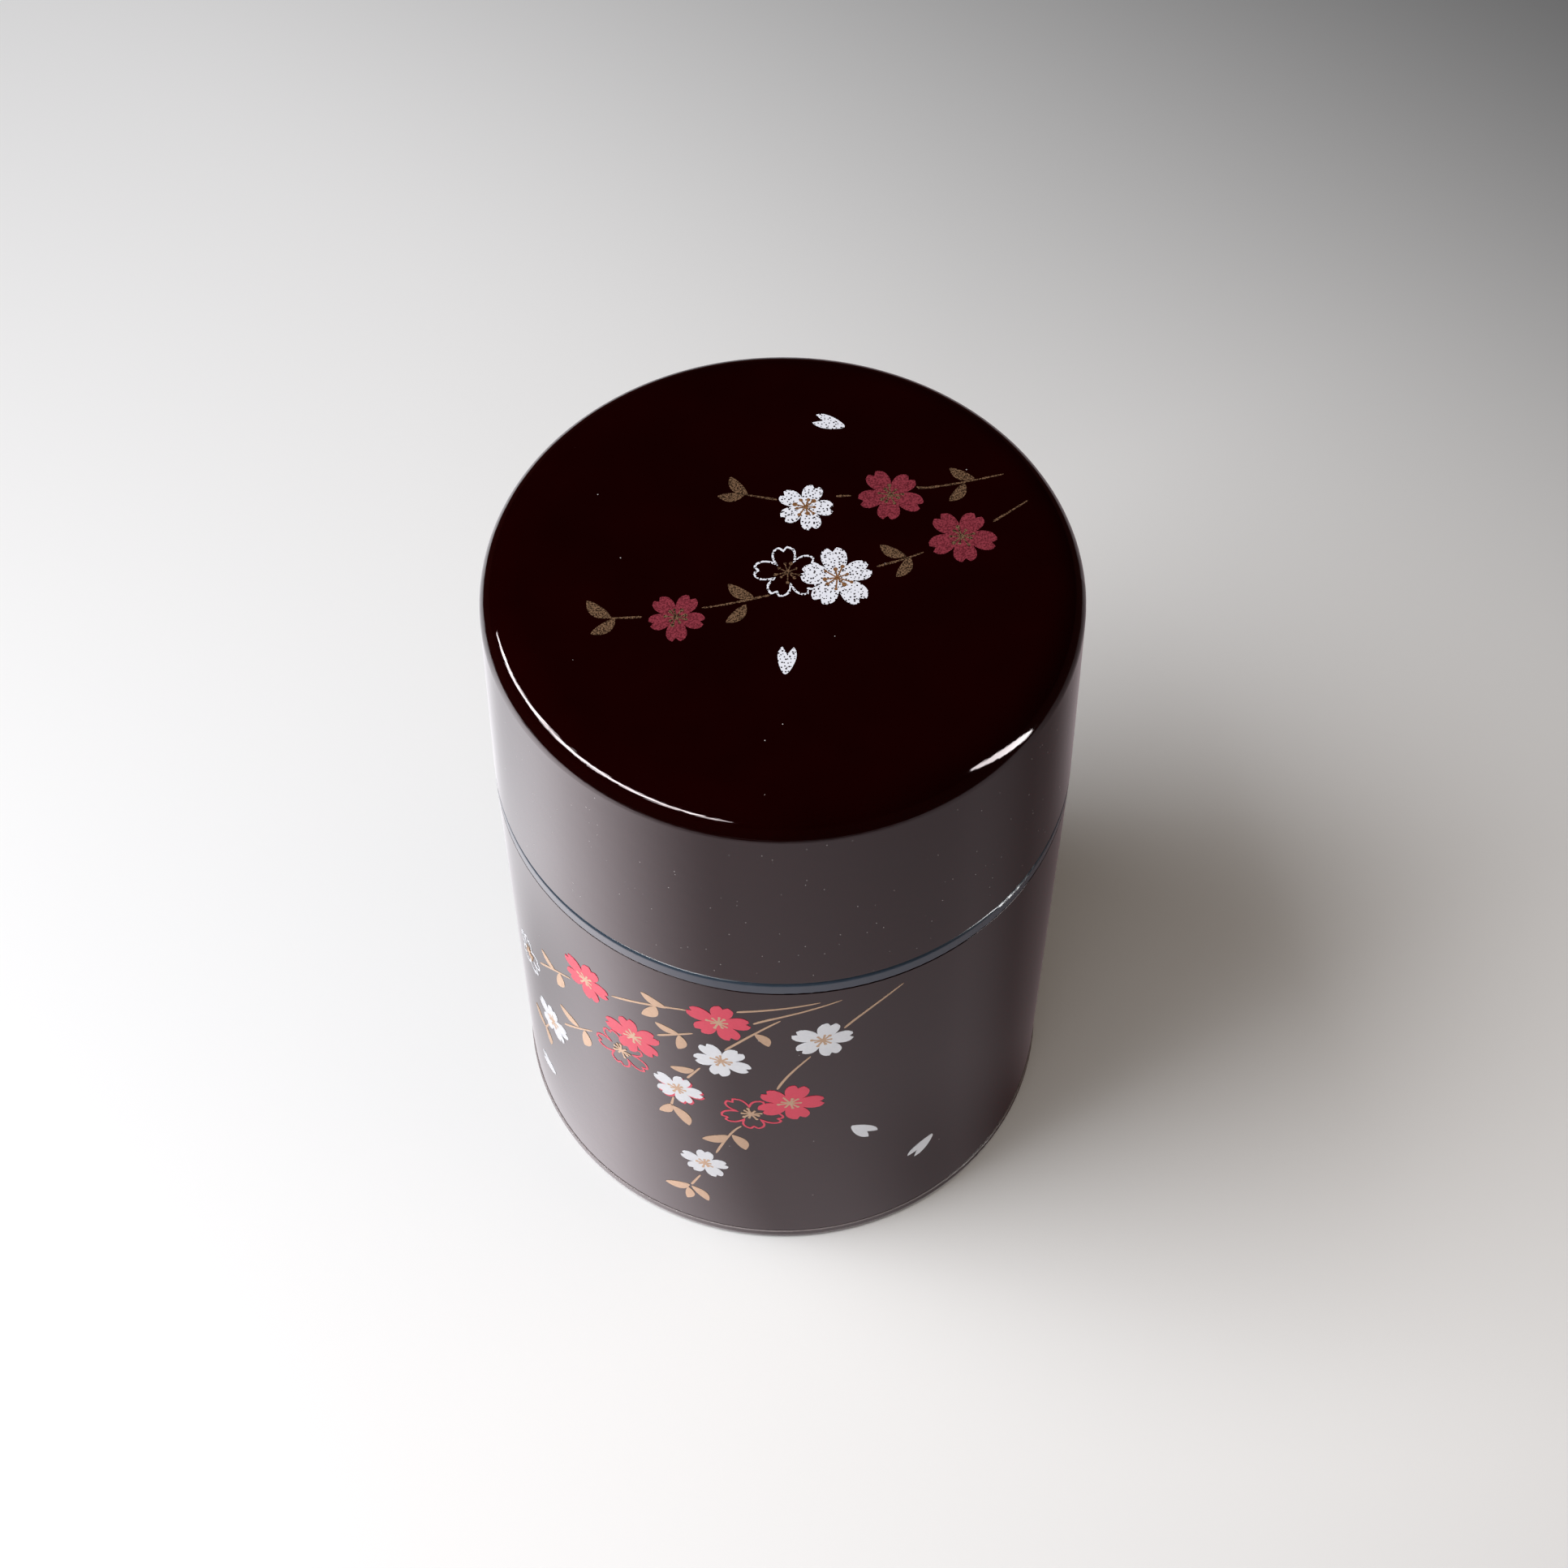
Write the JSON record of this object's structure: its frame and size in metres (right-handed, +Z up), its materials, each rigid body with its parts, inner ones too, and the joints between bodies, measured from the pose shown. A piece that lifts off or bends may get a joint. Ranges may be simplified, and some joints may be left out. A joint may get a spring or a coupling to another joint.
{
  "type": "tea caddy",
  "caption": "Round lacquered tea caddy: a sleeve round an inner canister, a seal ring at the seam, a deep lift-off lid and a knobbed inner lid that keep tea leaves dry.",
  "frame": {"origin": "centre of the foot ring, on the surface that the caddy stands on", "axes": "+Z up along the caddy's axis; -Y towards the printed front"},
  "size_m": [0.08, 0.08, 0.112],
  "materials": {
    "lacquer": "mirror-gloss near-black maroon lacquer over moulded resin",
    "canister": "satin dark brown moulded resin",
    "seal": "smooth slate-navy silicone",
    "inner_lid": "satin dark brown moulded resin"
  },
  "bodies": {
    "body": {"base_cap": "lacquer", "body_sleeve": "lacquer", "inner_canister": "canister"},
    "seal": {"seal_ring": "seal"},
    "inner_lid": {"inner_lid": "inner_lid", "inner_lid_knob": "inner_lid"},
    "lid": {"lid_shell": "lacquer"}
  },
  "joints": [
    {"name": "lid_turn", "type": "hinge", "parent": "body", "child": "seal", "pos_m": [0, 0, 0.0733], "axis": [0, 0, 1], "continuous": true},
    {"name": "inner_lid_lift", "type": "slide", "parent": "seal", "child": "inner_lid", "axis": [0, 0, 1], "range_m": [0, 0.05]},
    {"name": "lid_lift", "type": "slide", "parent": "inner_lid", "child": "lid", "axis": [0, 0, 1], "range_m": [0, 0.07]}
  ]
}
